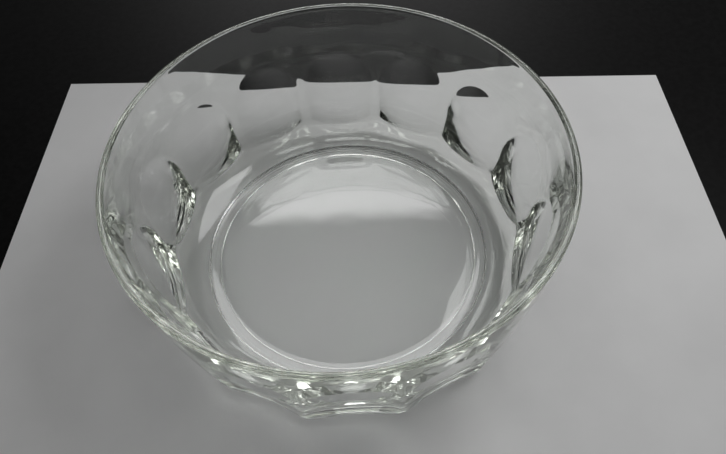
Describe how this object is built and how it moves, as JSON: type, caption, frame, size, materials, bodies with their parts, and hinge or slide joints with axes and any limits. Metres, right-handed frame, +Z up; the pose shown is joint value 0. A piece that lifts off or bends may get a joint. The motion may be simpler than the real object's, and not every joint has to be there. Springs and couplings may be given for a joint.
{
  "type": "glass bowl",
  "caption": "Round pressed-glass bowl with thumbprint facets round its lower wall, a plain flared upper wall, a rounded lip and a raised foot ring.",
  "frame": {"origin": "centre of the foot ring's bearing face, on the surface the bowl stands on", "axes": "+Z up along the bowl's axis; one facet is centred on -Y and one on +Y"},
  "size_m": [0.23, 0.23, 0.089],
  "materials": {
    "clear_glass": "clear pressed soda-lime glass, fire polished, with a faint grey-green tint where it is thick"
  },
  "bodies": {
    "root": {"bowl": "clear_glass"}
  },
  "joints": []
}
